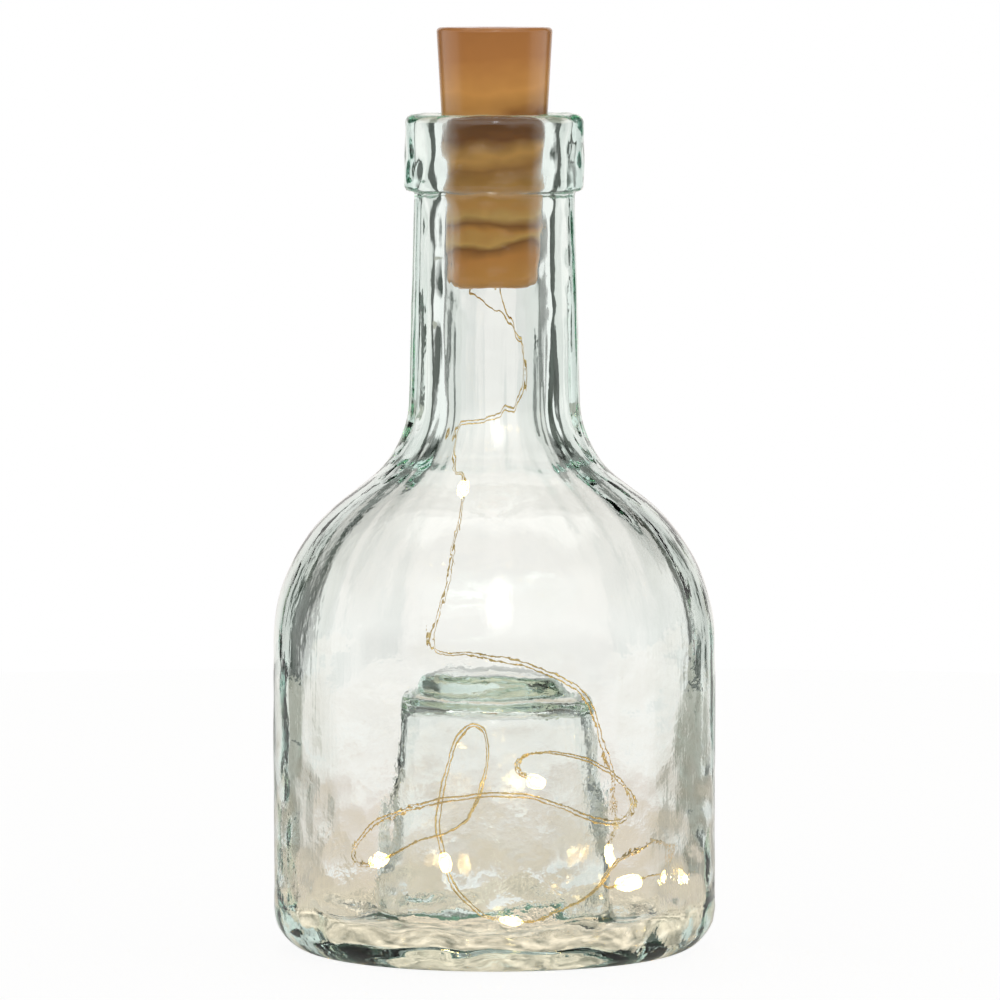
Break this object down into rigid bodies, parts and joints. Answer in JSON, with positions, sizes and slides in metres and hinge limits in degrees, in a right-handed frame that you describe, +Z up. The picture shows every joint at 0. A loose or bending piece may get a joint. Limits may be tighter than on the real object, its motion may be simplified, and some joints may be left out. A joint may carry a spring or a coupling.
{
  "type": "cork bottle light",
  "caption": "Thick clear glass bottle with a raised punt, closed by a tapered battery stopper from which a fine wire light string hangs inside.",
  "frame": {"origin": "centre of the bottle's foot, on the surface that it stands on", "axes": "+Z up along the bottle's axis, +X right and +Y away from someone who looks at the front"},
  "size_m": [0.0862, 0.0862, 0.18],
  "materials": {
    "bottle_glass": "thick clear pressed glass with a faint aqua tint and wavy walls",
    "stopper_plastic": "glossy caramel brown plastic",
    "carrier_plastic": "natural moulded plastic",
    "switch_steel": "thin folded steel",
    "knob_plastic": "black moulded plastic",
    "contact_metal": "nickel plated spring metal",
    "cell_steel": "polished steel cans",
    "board_laminate": "green lacquered laminate",
    "resistor_lacquer": "tan lacquer",
    "string_wire": "lacquered fine wire, gold coloured",
    "bead_resin": "clear resin drop, lit warm white",
    "chip_phosphor": "yellow phosphor over a light chip"
  },
  "bodies": {
    "bottle": {"bottle": "bottle_glass"},
    "stopper": {"stopper_shell": "stopper_plastic", "contact_board": "board_laminate", "centre_leaf": "contact_metal", "side_leaf": "contact_metal", "resistor": "resistor_lacquer", "lead_left": "string_wire", "lead_right": "string_wire", "light_string": "string_wire", "led_bead_1": "bead_resin", "led_bead_2": "bead_resin", "led_bead_3": "bead_resin", "led_bead_4": "bead_resin", "led_bead_5": "bead_resin", "led_bead_6": "bead_resin", "led_bead_7": "bead_resin", "led_bead_8": "bead_resin", "led_chip_1": "chip_phosphor", "led_chip_2": "chip_phosphor", "led_chip_3": "chip_phosphor", "led_chip_4": "chip_phosphor", "led_chip_5": "chip_phosphor", "led_chip_6": "chip_phosphor", "led_chip_7": "chip_phosphor", "led_chip_8": "chip_phosphor"},
    "carrier": {"carrier_head": "stopper_plastic", "battery_carrier": "carrier_plastic", "switch_body": "switch_steel", "cell_1": "cell_steel", "cell_2": "cell_steel", "cell_3": "cell_steel", "top_contact": "contact_metal", "bottom_contact": "contact_metal", "side_strip": "contact_metal"},
    "knob": {"switch_knob": "knob_plastic"}
  },
  "joints": [
    {"name": "stopper_lift", "type": "slide", "parent": "bottle", "child": "stopper", "axis": [0, 0, 1], "range_m": [0, 0.0345]},
    {"name": "carrier_pull", "type": "slide", "parent": "stopper", "child": "carrier", "axis": [0, 0, 1], "range_m": [0, 0.027]},
    {"name": "switch_slide", "type": "slide", "parent": "carrier", "child": "knob", "axis": [1, 0, 0], "range_m": [0, 0.002]}
  ]
}
